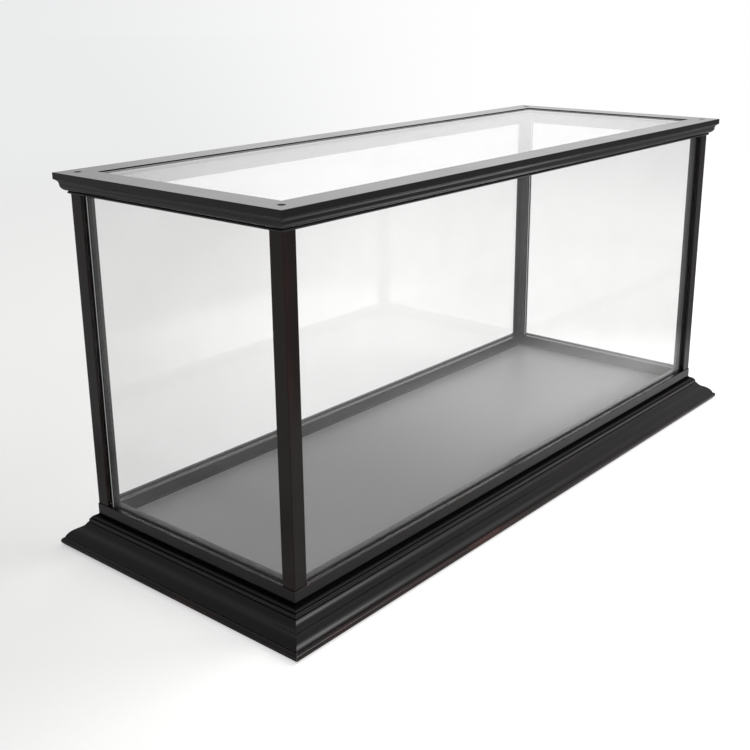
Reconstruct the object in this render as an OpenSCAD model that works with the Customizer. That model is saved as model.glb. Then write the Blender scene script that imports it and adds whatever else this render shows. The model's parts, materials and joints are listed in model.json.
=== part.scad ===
/* [Case] */
// Length over the outside of the posts
case_l = 780; // [500:5:1100]
// Depth over the outside of the posts
case_d = 283; // [200:1:450]
// Height from the floor to the top of the lid
case_h = 388; // [250:1:600]

/* [Base moulding] */
// Height of the moulded base rails
base_h = 33; // [31:0.5:42]
// How far the foot of the moulding stands out from the posts
base_overhang = 30; // [26:0.5:40]
// Flat margin between the plinth rail and the bead
bead_flat = 1.2; // [0.6:0.1:2]
// Drop from that margin to the top of the bead
bead_step = 1; // [0.5:0.1:1.5]
// Radius of the bead
bead_r = 6.6; // [5:0.1:7.5]
// Radius of the fine groove scratched along the bead
bead_groove_r = 0.7; // [0.4:0.1:1]
// Place of that groove on the bead, in degrees up from the horizontal
bead_groove_turn = 37; // [30:1:50]
// Depth of the quirk under the bead
quirk_h = 0.9; // [0.4:0.1:1.5]
// How far the quirk is cut back under the bead
quirk_in = 0.4; // [0.2:0.1:0.8]
// Width of the fillet at the top of the sweep
quirk_w = 1.3; // [0.9:0.1:1.8]
// Share of the sweep that is hollow, before it turns convex
sweep_turn = 0.43; // [0.35:0.01:0.6]
// Bow of the hollow and of the swell, as the half angle of each arc
sweep_bow = 21; // [8:1:28]
// Radius of the nose at the foot
nose_r = 4; // [3:0.1:4.5]
// Height of the fillet above the nose
nose_step = 0.9; // [0.4:0.1:1.5]
// How far that fillet stands out from the middle of the nose
nose_set = 0.6; // [0.2:0.1:1.2]
// How far the flat underside runs on past the middle of the nose
foot_flat = 1; // [0.6:0.1:1.4]

/* [Plinth and floor board] */
// Height of the plinth rails that carry the posts
plinth_h = 12.5; // [9:0.5:20]
// How far the plinth rails stand proud of the posts
plinth_proud = 0.6; // [0.2:0.1:1.5]
// Depth of the pane groove in the plinth rails
plinth_groove = 4; // [2:0.5:7]
// Thickness of the floor board
floor_t = 5; // [3:0.5:8]
// Drop from the foot of the plinth rails to the floor board
floor_drop = 2; // [0:0.5:4]
// Clearance round the floor board
floor_clear = 0.2; // [0.1:0.05:0.5]
// Width of the ledge under the floor board
ledge_w = 6; // [4:0.5:12]
// Leg of the glue blocks in the corners
block_leg = 28; // [15:1:45]
// Height of the glue blocks
block_h = 20; // [10:1:22]

/* [Posts] */
// Width of the square posts
post_w = 15.5; // [14:0.5:24]
// Thickness of the lip in front of each pane
post_lip = 3.8; // [3:0.1:4.5]
// Depth of the pane grooves in the posts
post_groove = 5; // [3:0.25:5.5]
// Chamfer along the edges of the posts
post_arris = 0.7; // [0.2:0.1:1.2]

/* [Panes] */
// Thickness of the side panes
pane_t = 2; // [1.5:0.5:3]
// Width of the grooves in the posts, plinth and lid that hold the side panes
groove_w = 4.8; // [3.6:0.1:5.4]
// Clearance between a pane and the groove face beside it
pane_clear = 0.2; // [0.1:0.05:0.3]
// Clearance over the upper edge of the side panes
pane_top_clear = 0.5; // [0.2:0.1:0.8]

/* [Lid] */
// Height of the lid rails
lid_h = 20.5; // [18:0.5:28]
// How far the lid stands out from the posts
lid_overhang = 11; // [9:0.5:12]
// Width of the lid rails across their top
lid_rail_w = 30; // [28:0.5:45]
// Height of the square fillet at the top edge
crown_fillet = 6.3; // [5:0.1:7]
// How far the waist under that fillet is set back from its face
crown_setback = 3.9; // [3:0.1:4.5]
// Radius of the cove between the fillet and the waist
crown_cove_r = 5.3; // [4.5:0.1:6]
// Radius of the ovolo from the waist down to the bead
crown_ovolo_r = 6; // [5:0.1:6.2]
// Radius of the bead at the lower edge
crown_bead_r = 1.2; // [0.9:0.1:1.4]
// Middle of that bead, out from the posts
crown_bead_out = 1; // [0.6:0.1:1.5]
// Margin between that bead and the underside
crown_bead_up = 0.2; // [0.1:0.1:0.4]
// Chamfer along the top edges of the lid rails
lid_arris = 0.5; // [0.2:0.1:1]
// Depth of the side pane groove in the underside
lid_groove = 3; // [2:0.5:5]
// Drop from the top of the lid rails to the top pane
top_pane_drop = 1.5; // [1.5:0.5:5]
// Thickness of the top pane
top_pane_t = 2; // [1.5:0.5:3]
// Depth of the top pane groove in the lid rails
top_pane_seat = 5; // [3:0.5:7]
// Gap between the lid and the posts that it rests on
lid_seat_gap = 0.1; // [0.05:0.05:0.3]

/* [Screws] */
// Screw axes, in from the outer faces of the posts
screw_inset = 5.8; // [5.5:0.1:6.5]
// Clearance round a screw in the hole that it bites in
screw_clear = 0.1; // [0.05:0.05:0.2]
// Diameter of the lid screws
lid_screw_d = 3.5; // [3:0.1:4]
// Length of the lid screws
lid_screw_l = 35; // [30:1:45]
// Diameter of the countersunk heads of the lid screws
lid_head_d = 6.6; // [6:0.1:7.2]
// Depth of the lid screws' heads below the top of the lid
lid_head_drop = 1.6; // [1:0.1:3]
// Clearance of the lid screws' heads in their recesses
lid_head_clear = 0.3; // [0.2:0.05:0.5]
// Diameter of the lid screws' clearance holes through the lid
lid_hole_d = 4.2; // [4.1:0.1:5]
// Gap between a countersunk head and its seat
lid_seat_clear = 0.1; // [0.05:0.05:0.25]
// Spare depth of a pilot hole beyond its screw
pilot_spare = 2; // [1:0.5:5]
// Diameter of the post screws
post_screw_d = 4.5; // [4:0.1:5]
// Length of the post screws under their heads
post_screw_l = 60; // [50:1:80]
// Diameter of the post screws' heads
post_head_d = 9; // [8:0.5:10]
// Height of the post screws' heads
post_head_h = 3; // [2:0.5:4]
// Depth of the recesses for the post screws' heads
post_head_recess = 10; // [5:1:15]
// Diameter of the recesses for the post screws' heads
post_recess_d = 10.5; // [10.5:0.5:12]
// Length of the point on every screw
screw_point = 4; // [2:0.5:6]
// Width of the cross slots in the screw heads
cross_w = 0.8; // [0.6:0.1:1.2]
// Span of the cross slots, as a share of the head
cross_span = 0.6; // [0.4:0.05:0.7]
// Depth of the cross slots
cross_depth = 1.2; // [0.8:0.1:1.3]

/* [Hidden] */
$fn = 96;
cut = 1; // how far a cutting shape runs past the face that it opens
black = "#1c1a1a";
brown_black = "#241b19";
floor_black = "#2a292a";
clear_sheet = [0.82, 0.9, 0.92, 0.3];
steel = "#7b7d80";
bare_wood = "#b08d61";

// Half sizes over the posts
half_l = case_l / 2;
half_d = case_d / 2;
// Heights above the floor
plinth_top = base_h + plinth_h;
floor_top = base_h - floor_drop;
floor_under = floor_top - floor_t;
lid_under = case_h - lid_h;
post_top = lid_under - lid_seat_gap;
post_h = post_top - plinth_top;
// Side panes and their grooves, in from the outer faces of the posts
pane_in = post_lip + pane_clear;
groove_end = post_lip + groove_w;
pane_end = post_w - post_groove + pane_clear;
pane_low = plinth_top - plinth_groove + pane_clear;
pane_high = lid_under + lid_groove - pane_top_clear;
// Inner edges of the rails, in from the outer faces of the posts
base_in = post_w + ledge_w;
lid_in = lid_rail_w - lid_overhang;
// Key points of the base moulding: x out from the posts, y up
bead_mid = [plinth_proud + bead_flat, base_h - bead_step - bead_r];
bead_groove_mid = bead_mid + bead_r * [cos(bead_groove_turn), sin(bead_groove_turn)];
quirk_top = bead_mid + [bead_r - quirk_in, 0];
sweep_top = quirk_top + [quirk_w, -quirk_h];
nose_mid = [base_overhang - nose_r, nose_r];
sweep_foot = nose_mid + [nose_set, nose_r + nose_step];
sweep_mid = sweep_top + sweep_turn * (sweep_foot - sweep_top);
swell_peak = 1.5 * tan(sweep_bow) / 2; // outside the swell, as a share of its chord
// Key points of the lid moulding
waist = [lid_overhang - crown_setback, lid_h - crown_fillet - crown_cove_r];
cove_mid = waist + [crown_cove_r, 0];
ovolo_mid = waist - [crown_ovolo_r, 0];
crown_bead_mid = [crown_bead_out, crown_bead_r + crown_bead_up];
// Top pane groove, up from the underside of the lid
top_groove_low = lid_h - top_pane_drop - top_pane_t - pane_clear;
top_groove_h = top_pane_t + 2 * pane_clear;
// Lid screws: the seat is a 45 degree cone from the recess to the hole
lid_recess_r = lid_head_d / 2 + lid_head_clear;
lid_head_top = case_h - lid_head_drop;
lid_cone_top = lid_head_top + lid_head_clear - lid_seat_clear;
lid_cone_h = lid_recess_r - lid_hole_d / 2;
lid_head_h = (lid_head_d - lid_screw_d) / 2;

// Middle of the circle of radius r through p and q, on the left of the way from p to q
function arc_mid(p, q, r) =
    let (d = q - p, l = norm(d))
    (p + q) / 2 + sqrt(r * r - l * l / 4) * [-d[1], d[0]] / l;

// Radius of the arc from p to q whose ends turn by the given half angle
function arc_r(p, q, half_angle) = norm(q - p) / 2 / sin(half_angle);

// Strip along the way from p to q, from one depth on its left to another
module chord_strip(p, q, from, to) {
    n = [p[1] - q[1], q[0] - p[0]] / norm(q - p);
    polygon([p + from * n, q + from * n, q + to * n, p + to * n]);
}

// Places its children at one corner post, with x and y running inwards from the post's outer corner
module at_corner(side_x, side_y) {
    mirror([side_x > 0 ? 1 : 0, 0, 0])
        mirror([0, side_y > 0 ? 1 : 0, 0])
            translate([-half_l, -half_d, 0])
                children();
}

// Places its children at the screw axis in all four corners
module at_screw_axes() {
    for (side_x = [-1, 1])
        for (side_y = [-1, 1])
            at_corner(side_x, side_y)
                translate([screw_inset, screw_inset, 0])
                    children();
}

// One side of a mitred frame: a flat section, x out from the posts and y up, run along one side.
// The turn is 0 for the back, 90 for the left, 180 for the front and 270 for the right.
module frame_side(turn, outer, inner) {
    run = turn % 180 == 0 ? half_l : half_d;
    reach = turn % 180 == 0 ? half_d : half_l;
    far = outer + cut;
    near = inner + cut;
    rotate([0, 0, turn])
        intersection() {
            translate([-(run + far), reach, 0])
                rotate([90, 0, 90])
                    linear_extrude(2 * (run + far))
                        children();
            translate([0, reach, -cut])
                linear_extrude(case_h + 2 * cut)
                    polygon([[near - run, -near], [run - near, -near], [run + far, far], [-(run + far), far]]);
        }
}

// Section of the base rails: ledge, plinth seat, grooved bead, quirk, cyma sweep and nose
module base_section() {
    hollow_r = arc_r(sweep_top, sweep_mid, sweep_bow);
    swell_r = arc_r(sweep_mid, sweep_foot, sweep_bow);
    swell_way = sweep_foot - sweep_mid;
    difference() {
        union() {
            polygon([
                [-base_in, 0],
                [nose_mid[0] + foot_flat, 0],
                [nose_mid[0] + foot_flat, nose_mid[1]],
                [sweep_foot[0], nose_mid[1]],
                sweep_foot,
                (sweep_mid + sweep_foot) / 2 + swell_peak * [-swell_way[1], swell_way[0]],
                sweep_mid,
                sweep_top,
                quirk_top - [0, quirk_h],
                quirk_top,
                bead_mid,
                [bead_mid[0], base_h],
                [-post_w, base_h],
                [-post_w, floor_under],
                [-base_in, floor_under]
            ]);
            translate(bead_mid)
                circle(bead_r);
            translate(nose_mid)
                circle(nose_r);
        }
        translate(bead_groove_mid)
            circle(bead_groove_r);
        intersection() {
            translate(arc_mid(sweep_top, sweep_mid, hollow_r))
                circle(hollow_r);
            chord_strip(sweep_top, sweep_mid, -hollow_r / 2, hollow_r);
        }
        difference() {
            chord_strip(sweep_mid, sweep_foot, -cut, swell_r);
            translate(arc_mid(sweep_foot, sweep_mid, swell_r))
                circle(swell_r);
        }
    }
}

// Section of the plinth rails, with the groove that the side panes stand in
module plinth_section() {
    difference() {
        translate([-post_w, base_h])
            square([post_w + plinth_proud, plinth_h]);
        translate([-groove_end, plinth_top - plinth_groove])
            square([groove_w, plinth_groove + cut]);
    }
}

// Section of the lid rails: fillet, cove, ovolo and bead outside, pane grooves inside and below
module lid_section() {
    difference() {
        union() {
            translate([-lid_in, 0])
                square([lid_in + crown_bead_mid[0], lid_h]);
            translate([-lid_in, waist[1]])
                square([lid_rail_w, lid_h - waist[1]]);
            intersection() {
                translate(ovolo_mid)
                    circle(crown_ovolo_r);
                translate([0, crown_bead_mid[1]])
                    square([lid_overhang, waist[1] - crown_bead_mid[1]]);
            }
            translate(crown_bead_mid)
                circle(crown_bead_r);
        }
        translate(cove_mid)
            circle(crown_cove_r);
        for (edge_x = [-lid_in, lid_overhang])
            translate([edge_x, lid_h])
                rotate(45)
                    square(lid_arris * sqrt(2), center = true);
        translate([-lid_in - cut, top_groove_low])
            square([top_pane_seat + cut, top_groove_h]);
        translate([-groove_end, -cut])
            square([groove_w, lid_groove + cut]);
    }
}

// Cross slots sunk into the top of a screw head, at z = 0
module cross_slots(head_d) {
    for (turn = [0, 90])
        rotate([0, 0, turn])
            translate([-head_d * cross_span / 2, -cross_w / 2, -cross_depth])
                cube([head_d * cross_span, cross_w, cross_depth + cut]);
}

// Shank with a point, from z = 0 down
module shank(d, l) {
    translate([0, 0, -(l - screw_point)])
        cylinder(d = d, h = l - screw_point);
    translate([0, 0, -l])
        cylinder(d1 = 0, d2 = d, h = screw_point);
}

module base_moulding(turn) {
    color(black)
        difference() {
            frame_side(turn, base_overhang, base_in)
                base_section();
            at_screw_axes() {
                translate([0, 0, -cut])
                    cylinder(d = post_recess_d, h = post_head_recess + cut);
                cylinder(d = post_screw_d + 2 * screw_clear, h = base_h + cut);
            }
        }
}

module plinth_rail(turn) {
    color(brown_black)
        difference() {
            frame_side(turn, plinth_proud, post_w)
                plinth_section();
            at_screw_axes()
                translate([0, 0, base_h - cut])
                    cylinder(d = post_screw_d + 2 * screw_clear, h = plinth_h + 2 * cut);
        }
}

module floor_board() {
    board_l = case_l - 2 * (post_w + floor_clear);
    board_d = case_d - 2 * (post_w + floor_clear);
    color(floor_black)
        translate([-board_l / 2, -board_d / 2, floor_under])
            cube([board_l, board_d, floor_t]);
}

module glue_block(side_x, side_y) {
    color(bare_wood)
        at_corner(side_x, side_y)
            translate([base_in, base_in, floor_under - block_h])
                linear_extrude(block_h)
                    polygon([[0, 0], [block_leg, 0], [0, block_leg]]);
}

// A square post, with one pane groove in each of its two inner sides
module post(side_x, side_y) {
    pilot = lid_screw_l + pilot_spare + lid_head_drop - lid_h;
    bite = post_head_recess + post_screw_l + pilot_spare - plinth_top;
    color(brown_black)
        at_corner(side_x, side_y)
            translate([0, 0, plinth_top])
                difference() {
                    linear_extrude(post_h)
                        difference() {
                            square(post_w);
                            for (x = [0, post_w])
                                for (y = [0, post_w])
                                    translate([x, y])
                                        rotate(45)
                                            square(post_arris * sqrt(2), center = true);
                            translate([post_w - post_groove, post_lip])
                                square([post_groove + cut, groove_w]);
                            translate([post_lip, post_w - post_groove])
                                square([groove_w, post_groove + cut]);
                        }
                    translate([screw_inset, screw_inset, post_h - pilot])
                        cylinder(d = lid_screw_d + 2 * screw_clear, h = pilot + cut);
                    translate([screw_inset, screw_inset, -cut])
                        cylinder(d = post_screw_d + 2 * screw_clear, h = bite + cut);
                }
}

// Screws that come up from below, through the base rails and plinth rails into the posts
module post_screws() {
    color(steel)
        at_screw_axes()
            translate([0, 0, post_head_recess])
                mirror([0, 0, 1]) {
                    difference() {
                        cylinder(d = post_head_d, h = post_head_h);
                        translate([0, 0, post_head_h])
                            cross_slots(post_head_d);
                    }
                    shank(post_screw_d, post_screw_l);
                }
}

// A side pane: along x for the front and the back, along y for the ends
module side_pane(turn) {
    run = turn % 180 == 0 ? half_l : half_d;
    reach = turn % 180 == 0 ? half_d : half_l;
    color(clear_sheet)
        rotate([0, 0, turn])
            translate([pane_end - run, reach - pane_in - pane_t, pane_low])
                cube([2 * (run - pane_end), pane_t, pane_high - pane_low]);
}

module lid_rail(turn) {
    color(black)
        difference() {
            frame_side(turn, lid_overhang, lid_in)
                translate([0, lid_under])
                    lid_section();
            at_screw_axes() {
                translate([0, 0, lid_cone_top])
                    cylinder(r = lid_recess_r, h = case_h - lid_cone_top + cut);
                translate([0, 0, lid_cone_top - lid_cone_h])
                    cylinder(d1 = lid_hole_d, r2 = lid_recess_r, h = lid_cone_h);
                translate([0, 0, lid_under - cut])
                    cylinder(d = lid_hole_d, h = lid_h);
            }
        }
}

module top_pane() {
    edge = lid_in - top_pane_seat + pane_clear;
    color(clear_sheet)
        translate([edge - half_l, edge - half_d, case_h - top_pane_drop - top_pane_t])
            cube([case_l - 2 * edge, case_d - 2 * edge, top_pane_t]);
}

module lid_screw(side_x, side_y) {
    color(steel)
        at_corner(side_x, side_y)
            translate([screw_inset, screw_inset, lid_head_top])
                difference() {
                    union() {
                        translate([0, 0, -lid_head_h])
                            cylinder(d1 = lid_screw_d, d2 = lid_head_d, h = lid_head_h);
                        shank(lid_screw_d, lid_screw_l);
                    }
                    cross_slots(lid_head_d);
                }
}

base_moulding(180);  // base_moulding_front
base_moulding(0);  // base_moulding_back
base_moulding(90);  // base_moulding_left
base_moulding(270);  // base_moulding_right
plinth_rail(180);  // plinth_rail_front
plinth_rail(0);  // plinth_rail_back
plinth_rail(90);  // plinth_rail_left
plinth_rail(270);  // plinth_rail_right
floor_board();
glue_block(-1, -1);  // glue_block_front_left
glue_block(1, -1);  // glue_block_front_right
glue_block(-1, 1);  // glue_block_back_left
glue_block(1, 1);  // glue_block_back_right
post(-1, -1);  // post_front_left
post(1, -1);  // post_front_right
post(-1, 1);  // post_back_left
post(1, 1);  // post_back_right
post_screws();
side_pane(180);  // pane_front
side_pane(0);  // pane_back
side_pane(90);  // pane_left
side_pane(270);  // pane_right
lid_rail(180);  // lid_rail_front
lid_rail(0);  // lid_rail_back
lid_rail(90);  // lid_rail_left
lid_rail(270);  // lid_rail_right
top_pane();
lid_screw(-1, -1);  // lid_screw_front_left
lid_screw(1, -1);  // lid_screw_front_right
lid_screw(-1, 1);  // lid_screw_back_left
lid_screw(1, 1);  // lid_screw_back_right
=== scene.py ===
import json
import math

import bmesh
import bpy
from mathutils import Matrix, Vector

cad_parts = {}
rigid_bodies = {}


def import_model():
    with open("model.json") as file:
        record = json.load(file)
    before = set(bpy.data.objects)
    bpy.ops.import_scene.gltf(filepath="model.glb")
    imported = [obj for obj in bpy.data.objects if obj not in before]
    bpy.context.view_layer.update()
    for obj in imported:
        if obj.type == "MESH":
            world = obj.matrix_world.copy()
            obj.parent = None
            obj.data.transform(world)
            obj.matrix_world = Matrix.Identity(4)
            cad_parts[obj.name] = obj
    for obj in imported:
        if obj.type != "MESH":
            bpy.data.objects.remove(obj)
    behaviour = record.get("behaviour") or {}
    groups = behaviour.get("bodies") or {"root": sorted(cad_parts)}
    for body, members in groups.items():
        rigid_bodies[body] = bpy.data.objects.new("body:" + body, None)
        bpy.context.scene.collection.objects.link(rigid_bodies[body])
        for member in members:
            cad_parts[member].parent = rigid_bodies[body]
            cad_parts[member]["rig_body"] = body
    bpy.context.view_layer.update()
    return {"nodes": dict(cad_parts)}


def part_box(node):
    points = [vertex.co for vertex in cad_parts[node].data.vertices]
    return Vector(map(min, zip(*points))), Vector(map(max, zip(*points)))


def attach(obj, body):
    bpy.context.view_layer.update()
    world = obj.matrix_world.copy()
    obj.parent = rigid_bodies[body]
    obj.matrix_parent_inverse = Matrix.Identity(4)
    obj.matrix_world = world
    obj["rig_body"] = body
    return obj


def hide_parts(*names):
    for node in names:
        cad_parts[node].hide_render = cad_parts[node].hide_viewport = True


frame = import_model()
nodes = frame["nodes"]
bodyOf = {name: nodes[name]["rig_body"] for name in nodes}
mm = 0.001

# the case's own planes, read from the frame
postLow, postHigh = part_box("post_back_right")
railLow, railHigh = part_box("lid_rail_back")
halfL, halfD = postHigh.x, postHigh.y
lidUnder, lidTop = railLow.z, railHigh.z
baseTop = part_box("plinth_rail_back")[0].z
plinthTop, postTop = postLow.z, postHigh.z
print("frame loaded:", len(nodes), "nodes, posts", round(halfL * 2, 4), "x", round(halfD * 2, 4), "m")


# node wiring
class Wire:
    # one output of a node, so that sums of outputs are written as sums
    def __init__(self, graph, socket):
        self.graph = graph
        self.socket = socket

    def maths(self, operation, *others):
        values = dict(enumerate((self, *others)))
        return self.graph.node("ShaderNodeMath", {"operation": operation}, values)

    def __add__(self, other):
        return self.maths("ADD", other)

    def __sub__(self, other):
        return self.maths("SUBTRACT", other)

    def __rsub__(self, other):
        return self.graph.node("ShaderNodeMath", {"operation": "SUBTRACT"}, {0: other, 1: self})

    def __mul__(self, other):
        return self.maths("MULTIPLY", other)

    def __truediv__(self, other):
        return self.maths("DIVIDE", other)

    def __pow__(self, other):
        return self.maths("POWER", other)

    def size(self):
        return self.maths("ABSOLUTE")

    def sign(self):
        return self.maths("SIGN")

    def most(self, other):
        return self.maths("MAXIMUM", other)

    def clamp(self):
        return self.graph.node("ShaderNodeClamp", {}, {"Value": self})

    def step(self, low, high, toLow=0.0, toHigh=1.0):
        # smooth change from one value to the other between low and high
        values = dict(enumerate((self, low, high, toLow, toHigh)))
        return self.graph.node("ShaderNodeMapRange", {"interpolation_type": "SMOOTHSTEP"}, values)


class Graph:
    # a node tree, emptied and then built up from wires
    def __init__(self, tree):
        self.tree = tree
        tree.nodes.clear()

    def node(self, kind, settings=None, values=None, output=0):
        made = self.tree.nodes.new(kind)
        for key, value in (settings or {}).items():
            setattr(made, key, value)
        for key, value in (values or {}).items():
            if isinstance(value, Wire):
                self.tree.links.new(value.socket, made.inputs[key])
            else:
                made.inputs[key].default_value = value
        return Wire(self, made.outputs[output]) if made.outputs else None

    def blend(self, share, first, second):
        # 6 and 7 are the mix node's two colours, and 2 is their result
        return self.node("ShaderNodeMix", {"data_type": "RGBA"}, {0: share, 6: first, 7: second}, 2)

    def mixed(self, share, first, second):
        return self.node("ShaderNodeMixShader", {}, {0: share, 1: first, 2: second})

    def place(self, scale=(1, 1, 1), offset=(0, 0, 0)):
        # the spot on the case, in metres
        spot = self.node("ShaderNodeTexCoord", output="Object")
        return self.node("ShaderNodeMapping", {}, {"Vector": spot, "Location": offset, "Scale": scale})

    def noise(self, spot, pitch, detail=3.0, roughness=0.5):
        values = {"Vector": spot, "Scale": pitch, "Detail": detail, "Roughness": roughness}
        return self.node("ShaderNodeTexNoise", {}, values)

    def parts(self, vector):
        split = self.node("ShaderNodeSeparateXYZ", {}, {"Vector": vector}).socket.node
        return [Wire(self, socket) for socket in split.outputs]

    def joined(self, **axes):
        return self.node("ShaderNodeCombineXYZ", {}, axes)

    def bump(self, height, strength, distance):
        values = {"Height": height, "Strength": strength, "Distance": distance}
        return self.node("ShaderNodeBump", {}, values)

    def ray(self, kind):
        return self.node("ShaderNodeLightPath", output=kind)

    def done(self, shader):
        self.node("ShaderNodeOutputMaterial", {}, {"Surface": shader})


def newFinish(name):
    material = bpy.data.materials.new(name)
    material.use_nodes = True
    return material, Graph(material.node_tree)


def colour(red, green, blue):
    return (red, green, blue, 1.0)


# finishes
lacquerLook = {
    "black": colour(0.0030, 0.0028, 0.0028),
    "mahogany": colour(0.0260, 0.0062, 0.0062),
    "worn": colour(0.095, 0.027, 0.021),
    # the near-black of the painted shade in the seams, quirks and grooves
    "shadeTone": colour(0.0018, 0.0016, 0.0016),
    "roughLow": 0.13,
    "roughHigh": 0.21,
    "rubbedRough": 0.2,
    "grainPitch": 950.0,
    "bandPitch": 95.0,
    "cloudPitch": 9.0,
    "speckPitch": 420.0,
    "grainStretch": 0.035,
    "grainStrength": 0.3,
    "grainDepth": 0.00005,
}

# one lacquer for each run of the grain, and a redder one: how far the mahogany shows everywhere (tint)
# and in bands (redness), and how far the arrises are rubbed, with the knocks that are rubbed more as
# (centre, half length, share) along the run
lacquerKinds = {
    "blackLacquerX": {"along": 0, "ior": 1.5, "tint": 0.03, "redness": 0.15, "rub": 0.06,
                      "knocks": [(-0.22, 0.2, 0.26), (-0.366, 0.018, 0.65), (-0.139, 0.032, 0.60)]},
    "blackLacquerY": {"along": 1, "ior": 1.5, "tint": 0.02, "redness": 0.10, "rub": 0.05,
                      "knocks": [(-0.04, 0.03, 0.35)]},
    "blackLacquerZ": {"along": 2, "ior": 1.44, "tint": 0.06, "redness": 0.40, "rub": 0.04, "knocks": []},
    "redLacquerZ": {"along": 2, "ior": 1.42, "tint": 0.30, "redness": 1.0, "rub": 0.04, "knocks": []},
}


def lacquer(name):
    # black lacquer over mahogany: the grain still reads as fine lines along the rail
    look, kind = lacquerLook, lacquerKinds[name]
    material, f = newFinish(name)
    stretch = [1.0, 1.0, 1.0]
    stretch[kind["along"]] = look["grainStretch"]
    lines = f.noise(f.place(stretch), look["grainPitch"], 4.0, 0.6)
    bands = f.noise(f.place(stretch), look["bandPitch"], 3.0, 0.55)
    clouds = f.noise(f.place(), look["cloudPitch"], 2.0, 0.5)
    specks = f.noise(f.place(), look["speckPitch"], 2.0, 0.6)
    red = bands.step(0.44, 0.64) * clouds.step(0.35, 0.60)
    tone = f.blend(red * kind["redness"] + kind["tint"], look["black"], look["mahogany"])
    # this attribute is 1 on the arrises, which are rubbed most at the knocks, and below nought where shade
    # is painted
    wearAndShade = f.node("ShaderNodeAttribute", {"attribute_name": "wearAndShade"}, {}, "Fac")
    run = f.parts(f.place())[kind["along"]]
    knocked = kind["rub"]
    for centre, half, share in kind["knocks"]:
        knocked = (run - centre).size().step(half * 1.4, half * 0.6, 0, share).most(knocked)
    rubbed = (wearAndShade * (clouds * 0.6 + bands * 0.5 + specks * 0.35)).step(0.48, 0.80) * knocked
    tone = f.blend(rubbed, tone, look["worn"])
    rough = (lines * 0.35 + clouds * 0.65).step(0.3, 0.7, look["roughLow"], look["roughHigh"])
    rough = rough + rubbed * look["rubbedRough"]
    grain = lines * 0.7 + bands * 0.4 + clouds * 0.5
    normal = f.bump(grain, look["grainStrength"], look["grainDepth"])
    polished = f.node("ShaderNodeBsdfPrincipled", {}, {
        "Base Color": tone, "Roughness": rough, "IOR": kind["ior"], "Normal": normal})
    # painted shade: where the attribute is below nought, in the seams, quirks and grooves, the lacquer is
    # mixed towards a near-black matt shader
    paintedShade = f.node("ShaderNodeBsdfDiffuse", {}, {"Color": look["shadeTone"]})
    f.done(f.mixed((wearAndShade * -1).clamp(), polished, paintedShade))
    return material


boardLook = {
    # face and dust are lifted greys that carry part of the satin sheen as painted sheen
    "face": colour(0.282, 0.280, 0.284),
    "dust": colour(0.345, 0.343, 0.347),
    "raw": colour(0.115, 0.070, 0.040),
    "ior": 1.5,
    "roughLow": 0.40,
    "roughHigh": 0.48,
    "rawRough": 0.4,
    "peelPitch": 260.0,
    "cloudPitch": 7.0,
    "speckPitch": 1400.0,
    "peelStrength": 0.15,
    "peelDepth": 0.00002,
}


def boardFinish():
    # sprayed satin face, raw fibre board below; the face and dust greys hold part of the satin sheen as
    # painted sheen
    look = boardLook
    material, f = newFinish("satinBoard")
    peel = f.noise(f.place(), look["peelPitch"], 2.0, 0.5)
    clouds = f.noise(f.place(), look["cloudPitch"], 3.0, 0.55)
    specks = f.noise(f.place(), look["speckPitch"], 1.0, 0.5)
    facing = f.parts(f.node("ShaderNodeNewGeometry", output="Normal"))[2]
    below = facing.step(-0.2, -0.8)
    dusty = clouds.step(0.3, 0.8) * 0.5 + specks.step(0.72, 0.80) * 0.3
    tone = f.blend(dusty, look["face"], look["dust"])
    tone = f.blend(below, tone, look["raw"])
    rough = (clouds * 0.8 + peel * 0.2).step(0.2, 0.8, look["roughLow"], look["roughHigh"])
    normal = f.bump(peel * 0.5 + specks * 0.2, look["peelStrength"], look["peelDepth"])
    f.done(f.node("ShaderNodeBsdfPrincipled", {}, {
        "Base Color": tone, "Roughness": rough + below * look["rawRough"], "IOR": look["ior"],
        "Normal": normal}))
    return material


sheetLook = {
    "ior": 1.49,
    "tint": colour(0.998, 0.998, 0.998),
    "gloss": colour(1, 1, 1),
    "roughness": 0.015,
    "film": colour(0.86, 0.86, 0.86),
    "filmLow": 0.014,
    "filmHigh": 0.028,
    "filmPitch": 11.0,
    "wavePitch": 5.0,
    "waveStrength": 0.3,
    "waveDepth": 0.00006,
}


def clearSheet():
    # thin sheet: sees straight through, mirrors by angle on both faces
    look = sheetLook
    material, f = newFinish("clearAcrylic")
    behind = f.node("ShaderNodeNewGeometry", output="Backfacing")
    ior = behind.step(0.0, 1.0, look["ior"], 1 / look["ior"])
    wave = f.bump(f.noise(f.place(), look["wavePitch"], 1.0, 0.4), look["waveStrength"], look["waveDepth"])
    mirrored = f.node("ShaderNodeFresnel", {}, {"IOR": ior})
    film = f.noise(f.place(), look["filmPitch"], 4.0, 0.6).step(0.3, 0.7, look["filmLow"], look["filmHigh"])
    clear = f.node("ShaderNodeBsdfTransparent", {}, {"Color": look["tint"]})
    gloss = f.node("ShaderNodeBsdfGlossy", {"distribution": "GGX"}, {
        "Color": look["gloss"], "Roughness": look["roughness"], "Normal": wave})
    # a faint film of dust and fine scratches
    dust = f.node("ShaderNodeBsdfDiffuse", {}, {"Color": look["film"]})
    f.done(f.mixed(film, f.mixed(mirrored, clear, gloss), dust))
    return material


edgeLook = {
    "grey": colour(0.44, 0.45, 0.45),
    "pale": colour(0.68, 0.70, 0.70),
    "pipedGrey": colour(0.76, 0.77, 0.77),
    "pipedPale": colour(1, 1, 1),
    "piped": 0.36,
    "ior": 1.49,
    "roughLow": 0.45,
    "roughHigh": 0.7,
    "sawPitch": 1500.0,
    "sawStretch": 0.2,
    "sawStrength": 0.4,
    "sawDepth": 0.0001,
}


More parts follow.
